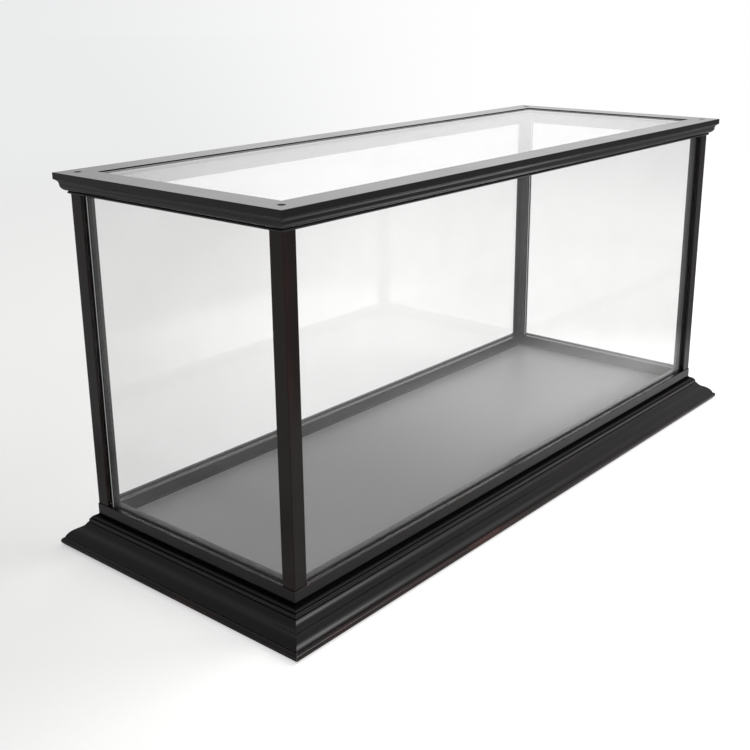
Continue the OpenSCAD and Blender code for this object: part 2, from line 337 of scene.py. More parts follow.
def sawnEdge():
    # the saw leaves the edges of the sheet matt and pale, and a painted glow on them stands in for the
    # little light that the sheet pipes to them
    look = edgeLook
    material, f = newFinish("sawnAcrylicGlow")
    marks = f.noise(f.place((1, 1, look["sawStretch"])), look["sawPitch"], 2.0, 0.5)
    f.done(f.node("ShaderNodeBsdfPrincipled", {}, {
        "Base Color": f.blend(marks, look["grey"], look["pale"]),
        "Roughness": marks.step(0.2, 0.8, look["roughLow"], look["roughHigh"]),
        "IOR": look["ior"],
        # painted glow: the sawn edges emit a little light
        "Emission Color": f.blend(marks, look["pipedGrey"], look["pipedPale"]),
        "Emission Strength": look["piped"],
        "Normal": f.bump(marks, look["sawStrength"], look["sawDepth"])}))
    return material


woodLook = {
    "early": colour(0.50, 0.30, 0.14),
    "late": colour(0.30, 0.15, 0.062),
    "pale": colour(0.58, 0.40, 0.22),
    "ior": 1.5,
    "roughLow": 0.55,
    "roughHigh": 0.8,
    "ringPitch": 140.0,
    "ringStretch": 0.06,
    "pith": (0.05, 0.02, 0),
    "bendPitch": 18.0,
    "bendStretch": 0.1,
    "fibrePitch": 1300.0,
    "fibreStretch": 0.03,
    "fibreStrength": 0.4,
    "fibreDepth": 0.0001,
}


def bareWood():
    # softwood with growth rings that run up the block
    look = woodLook
    material, f = newFinish("bareWood")
    spot = f.place((1, 1, look["ringStretch"]), look["pith"])
    bend = f.noise(f.place((1, 1, look["bendStretch"])), look["bendPitch"], 3.0, 0.5)
    rings = f.node("ShaderNodeTexWave", {"wave_type": "RINGS", "rings_direction": "Z"}, {
        "Vector": spot, "Scale": look["ringPitch"], "Distortion": 3.0, "Detail": 2.0,
        "Detail Scale": 1.5}, "Fac")
    fibre = f.noise(f.place((1, 1, look["fibreStretch"])), look["fibrePitch"], 3.0, 0.6)
    tone = f.blend((rings * 0.7 + fibre * 0.4).clamp(), look["early"], look["late"])
    tone = f.blend(bend.step(0.3, 0.75) * 0.35, tone, look["pale"])
    f.done(f.node("ShaderNodeBsdfPrincipled", {}, {
        "Base Color": tone,
        "Roughness": fibre.step(0.2, 0.8, look["roughLow"], look["roughHigh"]),
        "IOR": look["ior"],
        "Normal": f.bump(fibre + rings * 0.3, look["fibreStrength"], look["fibreDepth"])}))
    return material


steelLook = {
    "bright": colour(0.30, 0.30, 0.31),
    "stained": colour(0.16, 0.145, 0.13),
    "roughLow": 0.28,
    "roughHigh": 0.5,
    "scratchPitch": 2600.0,
    "scratchStretch": 0.1,
    "scratchStrength": 0.3,
    "scratchDepth": 0.00004,
    "stainPitch": 500.0,
}


def screwSteel():
    look = steelLook
    material, f = newFinish("screwSteel")
    scratch = f.noise(f.place((1, 1, look["scratchStretch"])), look["scratchPitch"], 3.0, 0.6)
    stain = f.noise(f.place(), look["stainPitch"], 3.0, 0.6)
    f.done(f.node("ShaderNodeBsdfPrincipled", {}, {
        "Base Color": f.blend(stain.step(0.4, 0.7), look["bright"], look["stained"]),
        "Metallic": 1.0,
        "Roughness": (scratch * 0.6 + stain * 0.4).step(0.2, 0.8, look["roughLow"], look["roughHigh"]),
        "Normal": f.bump(scratch, look["scratchStrength"], look["scratchDepth"])}))
    return material


lacquers = {name: lacquer(name) for name in lacquerKinds}
satinBoard = boardFinish()
clearAcrylic = clearSheet()
sawnAcrylicGlow = sawnEdge()
woodFinish = bareWood()
steelFinish = screwSteel()
print("finishes ready")


# outlines
def arc(centre, radius, start, end, steps):
    # points on a circle, angles in degrees
    made = []
    for n in range(steps + 1):
        turn = math.radians(start + (end - start) * n / steps)
        made.append((centre[0] + radius * math.cos(turn), centre[1] + radius * math.sin(turn)))
    return made


def onCircle(centre, radius, angle):
    return arc(centre, radius, angle, angle, 1)[0]


def bow(start, end, halfAngle, steps):
    # arc from start to end, hollow on the left of the way for a positive angle
    a, b = Vector(start), Vector(end)
    way = b - a
    radius = way.length / 2 / math.sin(math.radians(abs(halfAngle)))
    side = Vector((-way.y, way.x)).normalized() * (1 if halfAngle > 0 else -1)
    centre = (a + b) / 2 + side * math.sqrt(radius ** 2 - way.length_squared / 4)
    first = math.degrees(math.atan2(a.y - centre.y, a.x - centre.x))
    last = math.degrees(math.atan2(b.y - centre.y, b.x - centre.x))
    if last - first > 180:
        last -= 360
    if first - last > 180:
        last += 360
    return arc(centre, radius, first, last, steps)


easing = {"leastTurn": 22, "crispShare": 0.2, "crispReach": 0.01, "sideShare": 0.45, "steps": 3}


def eased(outline, radius, crisp=()):
    # rounds every real corner, the crisp ones only a little, and gives each point its wear: 1 on the
    # arrises, where lacquer wears first, and 0 elsewhere
    steps = easing["steps"]
    points = [Vector(p) for p in outline]
    points = [p for n, p in enumerate(points) if (p - points[n - 1]).length > 1e-6]
    area = sum(points[n - 1].x * p.y - p.x * points[n - 1].y for n, p in enumerate(points))
    made = []
    for n, p in enumerate(points):
        before, after = points[n - 1] - p, points[(n + 1) % len(points)] - p
        turn = math.pi - before.angle(after)
        if turn < math.radians(easing["leastTurn"]):
            made.append((p.x, p.y, 0.0))
            continue
        outwards = (before.y * after.x - before.x * after.y) * area > 0
        keen = any((p - Vector(corner)).length < easing["crispReach"] for corner in crisp)
        own = radius * easing["crispShare"] if keen else radius
        most = easing["sideShare"]
        reach = min(own * math.tan(turn / 2), before.length * most, after.length * most)
        a, b = p + before.normalized() * reach, p + after.normalized() * reach
        r = reach / math.tan(turn / 2)
        centre = p + (before.normalized() + after.normalized()).normalized() * math.hypot(r, reach)
        for k in range(steps + 1):
            q = (a - centre).lerp(b - centre, k / steps).normalized() * r + centre
            made.append((q.x, q.y, 1.0 if outwards and not keen and 0 < k < steps else 0.0))
    return made


# mesh helpers
def linked(name, mesh):
    piece = bpy.data.objects.new(name, mesh)
    bpy.context.scene.collection.objects.link(piece)
    return piece


def formed(name, shape):
    # hands the shape over as a linked piece
    mesh = bpy.data.meshes.new(name)
    shape.to_mesh(mesh)
    shape.free()
    return linked(name, mesh)


def settle(piece):
    # turns the evaluated modifiers into the piece's own mesh
    graph = bpy.context.evaluated_depsgraph_get()
    mesh = bpy.data.meshes.new_from_object(piece.evaluated_get(graph), preserve_all_data_layers=True,
                                           depsgraph=graph)
    old = piece.data
    piece.modifiers.clear()
    piece.data = mesh
    mesh.name = piece.name
    if old.users == 0:
        bpy.data.meshes.remove(old)
    return piece


def facedOut(piece):
    shape = bmesh.new()
    shape.from_mesh(piece.data)
    bmesh.ops.remove_doubles(shape, verts=shape.verts, dist=1e-7)
    bmesh.ops.recalc_face_normals(shape, faces=shape.faces)
    shape.to_mesh(piece.data)
    shape.free()
    return piece


def shaded(piece, angle):
    # smooth curves and crisp corners
    piece.data.shade_smooth()
    piece.data.set_sharp_from_angle(angle=math.radians(angle))
    return piece


def smoothed(piece, angle=32):
    # the flat faces are kept flat as well
    weighted = shaded(piece, angle).modifiers.new("flats", "WEIGHTED_NORMAL")
    weighted.keep_sharp = True
    weighted.weight = 80
    return settle(piece)


def bored(piece, cutter):
    cut = piece.modifiers.new("holes", "BOOLEAN")
    cut.operation = "DIFFERENCE"
    cut.solver = "EXACT"
    cut.object = cutter
    return settle(piece)


def prism(name, outline, levels):
    # an upright solid on an outline of (x, y, wear and painted shade), with that value replaced at the
    # levels that name one
    shape = bmesh.new()
    wearAndShade = shape.verts.layers.float.new("wearAndShade")
    rings = []
    for z, own in levels:
        ring = []
        for x, y, w in outline:
            v = shape.verts.new((x, y, z))
            v[wearAndShade] = w if own is None else own
            ring.append(v)
        rings.append(ring)
    count = len(outline)
    for lower, upper in zip(rings, rings[1:]):
        for n in range(count):
            m = (n + 1) % count
            shape.faces.new((lower[n], lower[m], upper[m], upper[n]))
    shape.faces.new(rings[0][::-1])
    shape.faces.new(rings[-1])
    return facedOut(formed(name, shape))


def turned(name, profile, axes, steps=48):
    # solids of revolution of (r, z) from the bottom up, one at each axis
    shape = bmesh.new()
    for x, y in axes:
        rings = []
        for r, z in profile:
            spots = arc((x, y), r, 0, 360, steps)[:-1] if r > 1e-7 else [(x, y)]
            rings.append([shape.verts.new((a, b, z)) for a, b in spots])
        for low, high in zip(rings, rings[1:]):
            for n in range(steps):
                m = (n + 1) % steps
                ring = [low[n % len(low)], low[m % len(low)], high[m % len(high)], high[n % len(high)]]
                shape.faces.new(list(dict.fromkeys(ring)))
        for ring in (rings[0], rings[-1]):
            if len(ring) > 2:
                shape.faces.new(ring)
    return facedOut(formed(name, shape))


def dressed(piece, material, node):
    # hands the piece over: its finish, the node that it stands for, its body
    if material is not None:
        piece.data.materials.clear()
        piece.data.materials.append(material)
    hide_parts(node)
    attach(piece, bodyOf[node])
    return piece


def nodeTool(name, inputs):
    # a Geometry Nodes tree with these inputs, and a reader for them
    tree = bpy.data.node_groups.new(name, "GeometryNodeTree")
    tree.is_modifier = True
    for key, kind in inputs.items():
        tree.interface.new_socket(key, in_out="INPUT", socket_type="NodeSocket" + kind)
    tree.interface.new_socket("Result", in_out="OUTPUT", socket_type="NodeSocketGeometry")
    g = Graph(tree)

    def given(key):
        return g.node("NodeGroupInput", output=key)

    return g, given


def finished(g, geometry, material):
    # the last nodes of a tool: one mesh in one finish
    whole = g.node("GeometryNodeRealizeInstances", {}, {"Geometry": geometry})
    painted = g.node("GeometryNodeSetMaterial", {}, {"Geometry": whole, "Material": material})
    g.node("NodeGroupOutput", {}, {"Result": painted})
    return g.tree


def worked(piece, tree, values):
    # runs a tool on the piece
    tool = piece.modifiers.new(tree.name, "NODES")
    tool.node_group = tree
    for item in tree.interface.items_tree:
        if item.in_out == "INPUT" and item.name in values:
            tool[item.identifier] = values[item.name]
    return settle(piece)


# holes for the screws
screwHoles = {"inset": 5.8, "postHole": 2.35, "headRecess": 5.25, "recessDepth": 10.0, "bite": 26.5,
              "pilot": 1.85, "pilotDepth": 18.1, "lidHole": 2.1, "lidRecess": 3.6, "coneTop": 386.6,
              "past": 1.0, "split": 0.05}
screwX, screwY = [half - screwHoles["inset"] * mm for half in (halfL, halfD)]


def screwAxes():
    return [(sx * screwX, sy * screwY) for sx in (-1, 1) for sy in (-1, 1)]


def cutters():
    # one cutter bores from below and one from above, both a little past the wood
    h = screwHoles
    biteTop = plinthTop / mm + h["bite"]
    pilotFloor = postTop / mm - h["pilotDepth"]
    pilotTop = postTop / mm + h["split"]
    coneFoot = h["coneTop"] - h["lidRecess"] + h["lidHole"]
    over = lidTop / mm + h["past"]
    below = [(0, -h["past"]), (h["headRecess"], -h["past"]), (h["headRecess"], h["recessDepth"]),
             (h["postHole"], h["recessDepth"]), (h["postHole"], biteTop), (0, biteTop)]
    above = [(0, pilotFloor), (h["pilot"], pilotFloor), (h["pilot"], pilotTop), (h["lidHole"], pilotTop),
             (h["lidHole"], coneFoot), (h["lidRecess"], h["coneTop"]), (h["lidRecess"], over), (0, over)]
    made = []
    for name, profile in (("cutBelow", below), ("cutAbove", above)):
        made.append(turned(name, [(r * mm, z * mm) for r, z in profile], screwAxes()))
    return made


cutBelow, cutAbove = cutters()


# mitred rails
def outlineMesh(name, section):
    # a closed outline as edges, with its place in the section kept as attributes
    mesh = bpy.data.meshes.new(name)
    count = len(section)
    points = [(x * mm, y * mm, 0) for x, y, w in section]
    mesh.from_pydata(points, [(n, (n + 1) % count) for n in range(count)], [])
    kept = {"out": [x * mm for x, y, w in section], "up": [y * mm for x, y, w in section],
            "wearAndShade": [w for x, y, w in section]}
    for key, values in kept.items():
        mesh.attributes.new(key, "FLOAT", "POINT").data.foreach_set("value", values)
    return mesh


def railTree():
    # runs a section along one side of a frame and cuts both ends to the mitre
    g, given = nodeTool("mitredRail", {"Section": "Geometry", "Half run": "Float", "Reach": "Float",
                                       "Turn": "Float", "Hairline": "Float", "Finish": "Material"})

    def named(key):
        return g.node("GeometryNodeInputNamedAttribute", {"data_type": "FLOAT"}, {"Name": key})

    section = g.node("GeometryNodeMeshToCurve", {}, {"Mesh": given("Section")})
    run = given("Half run")
    line = g.node("GeometryNodeCurvePrimitiveLine", {}, {"Start": g.joined(X=run * -1),
                                                         "End": g.joined(X=run)})
    swept = g.node("GeometryNodeCurveToMesh", {}, {"Curve": line, "Profile Curve": section,
                                                   "Fill Caps": True})
    end = g.parts(g.node("GeometryNodeInputPosition"))[0].sign()
    out = named("out")
    spot = g.joined(X=end * (run + out - given("Hairline")), Y=given("Reach") + out, Z=named("up"))
    placed = g.node("GeometryNodeSetPosition", {}, {"Geometry": swept, "Position": spot})
    turn = g.joined(Z=given("Turn"))
    placed = g.node("GeometryNodeTransform", {}, {"Geometry": placed, "Rotation": turn})
    return finished(g, placed, given("Finish"))


mitredRail = railTree()
sides = {"back": 0, "left": 90, "front": 180, "right": 270}


def rail(name, section, side, hairline, cutter, node):
    turn = sides[side]
    alongX = turn % 180 == 0
    finish = lacquers["blackLacquerX" if alongX else "blackLacquerY"]
    piece = linked(name, outlineMesh(name, section))
    worked(piece, mitredRail, {
        "Half run": halfL if alongX else halfD, "Reach": halfD if alongX else halfL,
        "Turn": math.radians(turn), "Hairline": hairline * mm, "Finish": finish})
    facedOut(piece)
    bored(piece, cutter)
    for key in ("out", "up"):
        piece.data.attributes.remove(piece.data.attributes[key])
    smoothed(piece)
    return dressed(piece, finish, node)


baseRails = {"height": 33.0, "inner": 21.5, "seat": 15.5, "boardUnder": 26.0,
             "beadMid": (1.8, 25.4), "beadR": 6.6, "grooveR": 0.7, "grooveTurn": 37, "quirkFloor": 24.5,
             "sweepTop": (9.3, 24.5), "sweepFoot": (26.6, 8.9), "turn": 0.43, "bow": 21,
             "noseMid": (26.0, 4.0), "noseR": 4.0, "footFlat": 27.0, "arris": 0.35, "hairline": 0.1}
# wear on the nose, and painted shade (below nought) in the crease, the groove, the crown of the bead and
# the quirk
baseWearAndShade = {"crease": -0.75, "creaseReach": 0.35, "nose": 0.98, "noseFrom": 20, "noseTo": 8,
            "groove": -0.9, "grooveOver": 0.02, "grooveUnder": 0.1,
            "crown": -0.82, "crownFrom": 52, "crownSpan": 16,
            "quirk": -0.7, "quirkFrom": 5, "quirkTo": 0.8, "quirkReach": 0.4, "plainTo": 1}


def baseWearAndShadeAt(spot, wearAndShade, crease, groove):
    # the nose is knocked most, which is wear; the crease over it, the fine groove, the crown and the quirk
    # get painted shade
    b, own = baseRails, baseWearAndShade
    x, y = spot
    bead = b["beadMid"]
    turn = math.degrees(math.atan2(y - bead[1], x - bead[0]))
    if math.dist(spot, crease) < own["creaseReach"]:
        return own["crease"]
    if x > own["noseFrom"] and y < own["noseTo"]:
        return own["nose"]
    cut = math.dist(spot, bead) < b["beadR"] - own["grooveUnder"]
    if cut and math.dist(spot, groove) < b["grooveR"] + own["grooveOver"]:
        return own["groove"]
    if x > 0 and y > bead[1] and turn > own["crownFrom"]:
        return own["crown"] * min(1, (turn - own["crownFrom"]) / own["crownSpan"])
    inQuirk = bead[0] + own["quirkFrom"] < x < b["sweepTop"][0] - own["quirkTo"]
    if inQuirk and abs(y - b["quirkFloor"]) < own["quirkReach"]:
        return own["quirk"]
    return 0.0 if x < b["sweepTop"][0] + own["plainTo"] else wearAndShade


def baseSection():
    b = baseRails
    foot, top = Vector(b["sweepFoot"]), Vector(b["sweepTop"])
    middle = top + (foot - top) * b["turn"]
    nose, bead = b["noseMid"], b["beadMid"]
    low = math.degrees(math.asin((b["footFlat"] - nose[0]) / b["noseR"])) - 90
    high = math.degrees(math.acos((b["sweepFoot"][0] - nose[0]) / b["noseR"]))
    quirk = math.degrees(math.asin((b["quirkFloor"] - bead[1]) / b["beadR"]))
    outline = [(-b["inner"], 0), (b["footFlat"], 0)]
    outline += arc(nose, b["noseR"], low, high, 16)
    outline += bow(foot, middle, b["bow"], 14)
    outline += bow(middle, top, -b["bow"], 12)
    # the bead, with its fine groove
    turn = b["grooveTurn"]
    groove = onCircle(bead, b["beadR"], turn)
    share = math.degrees(math.asin(b["grooveR"] / b["beadR"] / 2))
    outline += arc(bead, b["beadR"], quirk, turn - 2 * share, 12)
    outline += arc(groove, b["grooveR"], turn + 270 - share, turn + 90 + share, 8)
    outline += arc(bead, b["beadR"], turn + 2 * share, 90, 12)
    outline += [(bead[0], b["height"]), (-b["seat"], b["height"]), (-b["seat"], b["boardUnder"]),
                (-b["inner"], b["boardUnder"])]
    section = eased(outline, b["arris"], [(bead[0], b["height"])])
    crease = onCircle(nose, b["noseR"], high)
    return [(x, y, baseWearAndShadeAt((x, y), w, crease, groove)) for x, y, w in section]


for side in sides:
    rail("baseMoulding_" + side, baseSection(), side, baseRails["hairline"], cutBelow,
         "base_moulding_" + side)
print("base rails ready")

plinthRails = {"proud": 0.6, "inner": 15.5, "grooveOut": -3.8, "grooveIn": -8.6, "grooveDepth": 4.0,
               "arris": 0.6, "hairline": 0.1, "settle": 0.03, "footBand": 3.0, "lipBand": 0.7}
# painted shade along the foot and a painted shadow line at the mouth of the pane groove
plinthShade = {"foot": -0.6, "footReach": 0.5, "mouth": -0.95, "mouthReach": 0.3}


def plinthSection():
    # painted shade along the foot, where the bead shades it, and a painted shadow line where the lip meets
    # the pane
    p, own = plinthRails, plinthShade
    low, high = baseTop / mm + p["settle"], plinthTop / mm
    floor, mouth = high - p["grooveDepth"], (p["grooveOut"], high)
    outline = [(-p["inner"], low), (p["proud"], low), (p["proud"], low + p["footBand"]),
               (p["proud"], high), (p["grooveOut"] + p["lipBand"], high), mouth, (p["grooveOut"], floor),
               (p["grooveIn"], floor), (p["grooveIn"], high), (-p["inner"], high)]
    made = []
    for x, y, w in eased(outline, p["arris"], [(p["proud"], low), mouth]):
        if x > 0 and y < low + own["footReach"]:
            w = own["foot"]
        elif abs(x - mouth[0]) < own["mouthReach"]:
            w = own["mouth"]
        made.append((x, y, w))
    return made


for side in sides:
    rail("plinthRail_" + side, plinthSection(), side, plinthRails["hairline"], cutBelow,
         "plinth_rail_" + side)
print("plinth rails ready")

lidRails = {"height": 20.5, "inner": 19.0, "overhang": 11.0,
            "grooveOut": -3.8, "grooveIn": -8.6, "grooveDepth": 3.0, "beadMid": (1.0, 1.4), "beadR": 1.2,
            "ovoloMid": (1.1, 8.9), "ovoloR": 6.0, "coveMid": (12.4, 8.9), "coveR": 5.3,
            "paneLow": 16.8, "paneHigh": 19.2, "paneSeat": 5.0, "arris": 0.45, "hairline": 0.07}
# painted shade in the quirk, the pane groove and the step down to the top pane
lidShade = {"quirk": -0.8, "quirkFrom": 0.5, "quirkLow": 0.9, "quirkHigh": 0.97,
           "groove": -0.9, "grooveReach": 0.1, "rimReach": 0.3, "rimDrop": 0.5}


def lidSection():
    # pane groove below, then bead, ovolo, cove and fillet up the outside
    s, own = lidRails, lidShade
    bead, ovolo, cove = s["beadMid"], s["ovoloMid"], s["coveMid"]
    seat = -s["inner"] + s["paneSeat"]
    ovoloFoot = math.degrees(math.asin((bead[0] - ovolo[0]) / s["ovoloR"])) - 90
    coveTop = math.degrees(math.acos((s["overhang"] - cove[0]) / s["coveR"]))
    outline = [(-s["inner"], 0), (s["grooveIn"], 0), (s["grooveIn"], s["grooveDepth"]),
               (s["grooveOut"], s["grooveDepth"]), (s["grooveOut"], 0), (bead[0], 0)]
    outline += arc(bead, s["beadR"], -90, 90, 14)
    outline += arc(ovolo, s["ovoloR"], ovoloFoot, 0, 18)
    outline += arc(cove, s["coveR"], 180, coveTop, 14)
    outline += [(s["overhang"], s["height"]), (-s["inner"], s["height"]), (-s["inner"], s["paneHigh"]),
                (seat, s["paneHigh"]), (seat, s["paneLow"]), (-s["inner"], s["paneLow"])]
    # painted shade in the quirk over the bead, the pane groove and the step down to the top pane
    low, high = bead[1] + s["beadR"] * own["quirkLow"], ovolo[1] - s["ovoloR"] * own["quirkHigh"]
    reach = own["grooveReach"]
    made = []
    for x, y, w in eased(outline, s["arris"]):
        inGroove = s["grooveIn"] - reach < x < s["grooveOut"] + reach
        onStep = x < own["rimReach"] - s["inner"] and y > s["paneLow"] - own["rimDrop"]
        if x > own["quirkFrom"] and low < y < high:
            w = own["quirk"]
        elif inGroove or onStep:
            w = own["groove"]
        made.append((x, y + lidUnder / mm, w))
    return made


for side in sides:
    rail("lidRail_" + side, lidSection(), side, lidRails["hairline"], cutAbove, "lid_rail_" + side)
print("lid rails ready")

# posts
# the groove value is painted shade in the pane grooves
posts = {"width": 15.5, "lip": 3.8, "grooveW": 4.8, "grooveDepth": 5.0, "arris": 0.7, "settle": 0.03,
         "grooveShade": -0.9, "grooveReach": 0.1, "mouthDrop": 0.5}
# a painted shadow line round the foot, where the post sits on the plinth: heights over the foot and the
# painted shade there
footShadowLine = [(0.0, -0.95), (0.5, -0.85), (1.2, None)]


def post(sideX, sideY, node):
    p = posts
    w, lip, far, floor = p["width"], p["lip"], p["lip"] + p["grooveW"], p["width"] - p["grooveDepth"]
    outline = [(0, 0), (w, 0), (w, lip), (floor, lip), (floor, far), (w, far),
               (w, w), (far, w), (far, floor), (lip, floor), (lip, w), (0, w)]
    section = []
    for x, y, wearAndShade in eased(outline, p["arris"]):
        # painted shade in the pane grooves
        for a, b in ((x, y), (y, x)):
            if a < w - p["mouthDrop"] and lip - p["grooveReach"] < b < far + p["grooveReach"]:
                wearAndShade = p["grooveShade"]
        section.append((sideX * (halfL - x * mm), sideY * (halfD - y * mm), wearAndShade))
    foot = plinthTop + p["settle"] * mm
    levels = [(foot + z * mm, wearAndShade) for z, wearAndShade in footShadowLine] + [(postTop, None)]
    piece = prism(node.replace("post_", "cornerPost_"), section, levels)
    bored(piece, cutBelow)
    bored(piece, cutAbove)
    # the front left post wears the redder finish
    finish = lacquers["redLacquerZ" if node == "post_front_left" else "blackLacquerZ"]
    return dressed(smoothed(piece), finish, node)


corners = {"front_left": (-1, -1), "front_right": (1, -1), "back_left": (-1, 1), "back_right": (1, 1)}
for corner, (sideX, sideY) in corners.items():
    post(sideX, sideY, "post_" + corner)
print("posts ready")


# boards and blocks
def block(name, node, material, bevel):
    # a board or block from its node's own outline, with its arrises eased
    shape = bmesh.new()
    shape.from_mesh(nodes[node].data)
    bmesh.ops.remove_doubles(shape, verts=shape.verts, dist=1e-6)
    bmesh.ops.dissolve_limit(shape, angle_limit=0.02, verts=shape.verts, edges=shape.edges)
    piece = facedOut(formed(name, shape))
    ease = piece.modifiers.new("ease", "BEVEL")
    ease.width = bevel * mm
    ease.segments = 3
    ease.limit_method = "ANGLE"
    settle(piece)
    return dressed(smoothed(piece, 40), material, node)


bevels = {"board": 0.5, "block": 0.6}
block("floorBoard", "floor_board", satinBoard, bevels["board"])
for corner in corners:
    block("glueBlock_" + corner, "glue_block_" + corner, woodFinish, bevels["block"])
print("boards ready")

# clear sheets: how far their ends stand in the grooves, and where the painted highlight line runs before
# that
sheets = {"ends": 4.8, "lineFrom": 0.1, "lineTo": 1.1}


def sheet(name, node, lined=False):
    # sawn rims, polished upright ends, and on a lined sheet a painted highlight line on the inside face,
    # standing for the light that its back end throws there
    low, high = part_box(node)
    size = high - low
    thin = min(range(3), key=lambda n: size[n])
    rims = (0, 1) if thin == 2 else (2,)
    shape = bmesh.new()
    bmesh.ops.create_cube(shape, size=1)
    bmesh.ops.scale(shape, vec=size, verts=shape.verts)
    bmesh.ops.translate(shape, vec=(low + high) / 2, verts=shape.verts)
    last, first = [high.y - (sheets["ends"] + sheets[key]) * mm for key in ("lineFrom", "lineTo")]
    if lined:
        for y in (first, last):
            bmesh.ops.bisect_plane(shape, geom=shape.verts[:] + shape.edges[:] + shape.faces[:],
                                   dist=1e-7, plane_co=(0, y, 0), plane_no=(0, 1, 0))
    for face in shape.faces:
        middle = face.calc_center_median()
        rim = any(not low[axis] + 1e-6 < middle[axis] < high[axis] - 1e-6 for axis in rims)
        inside = abs(middle[thin]) < abs(low[thin] + high[thin]) / 2
        # painted highlight line: these faces take the glowing edge finish
        pale = lined and inside and first < middle.y < last
        face.material_index = 1 if rim or pale else 0
    piece = formed(name, shape)
    for material in (clearAcrylic, sawnAcrylicGlow):
        piece.data.materials.append(material)
    return dressed(piece, None, node)


for side in sides:
    sheet("sidePane_" + side, "pane_" + side, side in ("left", "right"))
sheet("topPane", "top_pane")
print("panes ready")

# screws: the head's edge is (from its rim, from its top)
lidScrews = {"d": 3.5, "head": 6.6, "top": 386.4, "shankFrom": 0.0, "length": 35.0, "point": 4.0,
             "pitch": 1.35, "threadLength": 24.0, "slot": 0.8, "slotSpan": 0.6, "slotDepth": 1.2,
             "headEdge": [(-0.12, 0), (0, 0.12), (0, 0.25)]}
postScrews = {"d": 4.5, "head": 9.0, "top": 7.0, "shankFrom": 3.0, "length": 60.0, "point": 4.0,
              "pitch": 1.8, "threadLength": 40.0, "slot": 0.9, "slotSpan": 0.55, "slotDepth": 1.2,
              "headEdge": [(-1.1, 0), (-0.4, 0.35), (0, 1.2), (0, 3.0)]}
threads = {"rootShare": 0.74, "tip": 0.4, "tipShare": 0.25, "runOut": 0.6, "endSpare": 0.2,
           "coilShare": 0.35, "pointShare": 0.16}
crossSlot = {"over": 0.4, "taper": 0.5}
screwSteps = 40


def threadTree():
    # a ridge that climbs round the shank and dies out on the point
    t = threads
    g, given = nodeTool("screwThread", {"Shank": "Geometry", "Turns": "Float", "Root": "Float",
                                        "Length": "Float", "Ridge": "Float", "Low": "Vector",
                                        "Finish": "Material"})
    root, length = given("Root"), given("Length")
    coil = g.node("GeometryNodeCurveSpiral", {}, {
        "Resolution": 20, "Rotations": given("Turns"), "Start Radius": root * t["coilShare"],
        "End Radius": root, "Height": length})
    x, y, z = g.parts(g.node("GeometryNodeInputPosition"))
    # the spiral's radius grows only over the point, then stays at the root
    grown = (z / (length * t["pointShare"])).clamp() * (1 - t["coilShare"]) + t["coilShare"]
    grown = root * grown / ((x * x + y * y) ** 0.5).most(1e-6)
    placed = g.node("GeometryNodeSetPosition", {}, {
        "Geometry": coil, "Position": g.joined(X=x * grown, Y=y * grown, Z=z)})
    ridge = g.node("GeometryNodeCurvePrimitiveCircle", {"mode": "RADIUS"}, {
        "Resolution": 4, "Radius": given("Ridge")})
    swept = g.node("GeometryNodeCurveToMesh", {}, {
        "Curve": placed, "Profile Curve": ridge, "Fill Caps": True})
    moved = g.node("GeometryNodeTransform", {}, {"Geometry": swept, "Translation": given("Low")})
    both = g.node("GeometryNodeJoinGeometry", {}, {"Geometry": moved})
    g.tree.links.new(given("Shank").socket, both.socket.node.inputs["Geometry"])
    return finished(g, both, given("Finish"))


screwThread = threadTree()


def crossCutter(name, x, y, size, way):
    # two tapering blades that leave the cross in a screw's head
    span, half = size["head"] * size["slotSpan"] / 2 * mm, size["slot"] / 2 * mm
    top = size["top"] * mm
    ends = [(top + crossSlot["over"] * mm * way, 1.0),
            (top - size["slotDepth"] * mm * way, crossSlot["taper"])]
    shape = bmesh.new()
    for turn in (0, 1):
        rings = []
        for z, share in ends:
            ring = []
            for a, b in ((-1, -1), (1, -1), (1, 1), (-1, 1)):
                u, v = (a * span * share, b * half) if turn == 0 else (a * half, b * span * share)
                ring.append(shape.verts.new((x + u, y + v, z)))
            rings.append(ring)
        for n in range(4):
            m = (n + 1) % 4
            shape.faces.new((rings[0][n], rings[0][m], rings[1][m], rings[1][n]))
        shape.faces.new(rings[0])
        shape.faces.new(rings[1])
    return facedOut(formed(name, shape))


def screwBody(name, x, y, size, way):
    # way is 1 for the lid screws, whose heads are up, and -1 for the post screws, whose heads are down
    s, t = size, threads
    r, root, rim = s["d"] / 2, s["d"] / 2 * t["rootShare"], s["head"] / 2
    start, end = s["shankFrom"], s["shankFrom"] + s["length"]
    plain = end - s["threadLength"]
    profile = [(0, 0)] + [(rim + a, b) for a, b in s["headEdge"]]
    if way > 0:
        profile.append((r, rim - r))
    profile += [(r, plain - t["runOut"]), (root, plain), (root, end - s["point"]),
                (root * t["tipShare"], end - t["tip"]), (0, end)]
    profile = [(a * mm, s["top"] * mm - way * b * mm) for a, b in profile]
    piece = turned(name, profile[::-1] if way > 0 else profile, [(x, y)], screwSteps)
    cutter = crossCutter(name + "Cross", x, y, s, way)
    bored(piece, cutter)
    bpy.data.objects.remove(cutter)
    low = s["top"] - end + t["runOut"] if way > 0 else s["top"] + plain
    worked(piece, screwThread, {
        "Turns": (s["threadLength"] - t["runOut"]) / s["pitch"], "Root": root * mm,
        "Length": (s["threadLength"] - t["runOut"] - t["endSpare"]) * mm, "Ridge": (r - root) * mm,
        "Low": (x, y, low * mm), "Finish": steelFinish})
    return shaded(piece, 35)


for corner, (sideX, sideY) in corners.items():
    screw = screwBody("lidScrew_" + corner, sideX * screwX, sideY * screwY, lidScrews, 1)
    dressed(screw, steelFinish, "lid_screw_" + corner)

lower = [screwBody("postScrew_%d" % n, x, y, postScrews, -1) for n, (x, y) in enumerate(screwAxes())]
with bpy.context.temp_override(active_object=lower[0], object=lower[0], selected_objects=lower,
                               selected_editable_objects=lower):
    bpy.ops.object.join()
lower[0].name = "postScrews"
dressed(lower[0], steelFinish, "post_screws")
for cutter in (cutBelow, cutAbove):
    bpy.data.objects.remove(cutter)
print("screws ready")

